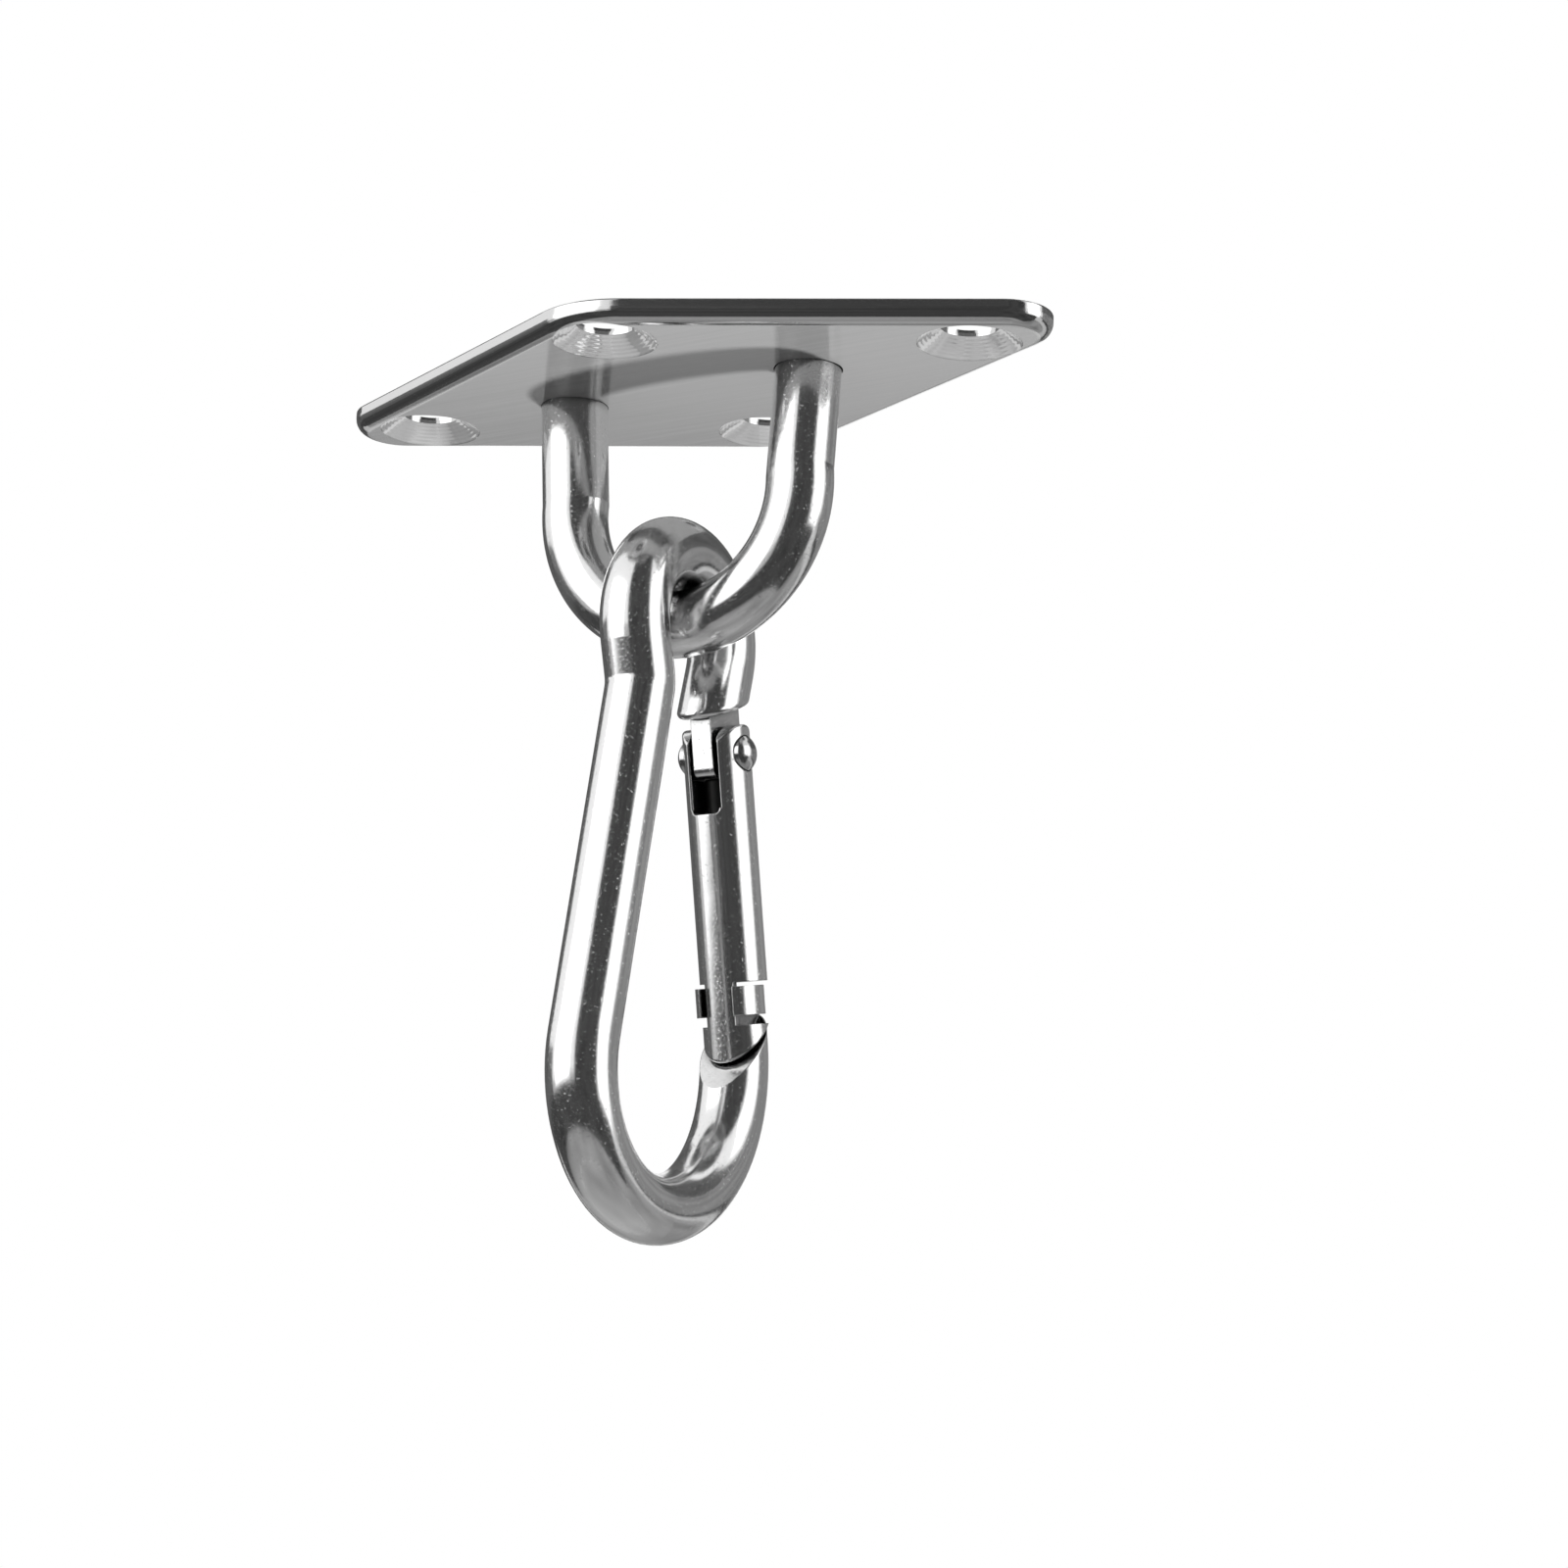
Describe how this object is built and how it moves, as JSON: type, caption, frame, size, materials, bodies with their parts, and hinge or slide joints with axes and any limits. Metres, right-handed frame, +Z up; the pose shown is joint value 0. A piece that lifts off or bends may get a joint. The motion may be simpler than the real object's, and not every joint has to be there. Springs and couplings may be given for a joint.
{
  "type": "hammock hook",
  "caption": "Stainless ceiling hook for a hammock: a diamond base plate with a welded rod eye, and a pear-shaped snap hook hanging in it that shuts with a sprung, latching gate.",
  "frame": {"origin": "centre of the base plate's back face, which lies against the ceiling", "axes": "+Z up, out of the plate's back into the ceiling; X along the plate's long diagonal and the rod eye; Y along the short diagonal, with the hook's gate on +Y"},
  "size_m": [0.0886, 0.0474, 0.098],
  "materials": {
    "plate_steel": "polished stainless steel with a fine rolled grain",
    "rod_steel": "mirror polished stainless steel",
    "weld_steel": "ground weld",
    "hook_steel": "mirror polished stainless steel",
    "rivet_steel": "peened stainless steel",
    "spring_steel": "blackened spring steel"
  },
  "bodies": {
    "plate": {"base_plate": "plate_steel", "eye_rod": "rod_steel", "rear_welds": "weld_steel"},
    "hook": {"hook_body": "hook_steel"},
    "gate": {"gate": "hook_steel", "gate_rivet": "rivet_steel", "gate_spring": "spring_steel"},
    "plunger": {"gate_plunger": "spring_steel"}
  },
  "joints": [
    {"name": "hook_swing", "type": "hinge", "parent": "plate", "child": "hook", "pos_m": [0, 0, -0.0297], "axis": [1, 0, 0], "range_deg": [-90, 90]},
    {"name": "gate_hinge", "type": "hinge", "parent": "hook", "child": "gate", "pos_m": [0, 0.00835, -0.04273], "axis": [-1, 0, 0], "range_deg": [0, 24], "stiffness_Nm_per_rad": 0.08, "springref_deg": -34.38},
    {"name": "plunger_slide", "type": "slide", "parent": "gate", "child": "plunger", "axis": [0, 0.196, -0.9806], "range_m": [0, 0.0009], "deforming": ["gate_spring"]}
  ],
  "couplings": [
    {"joint": "plunger_slide", "follows": "gate_hinge", "m_per_rad": 0.0018}
  ]
}
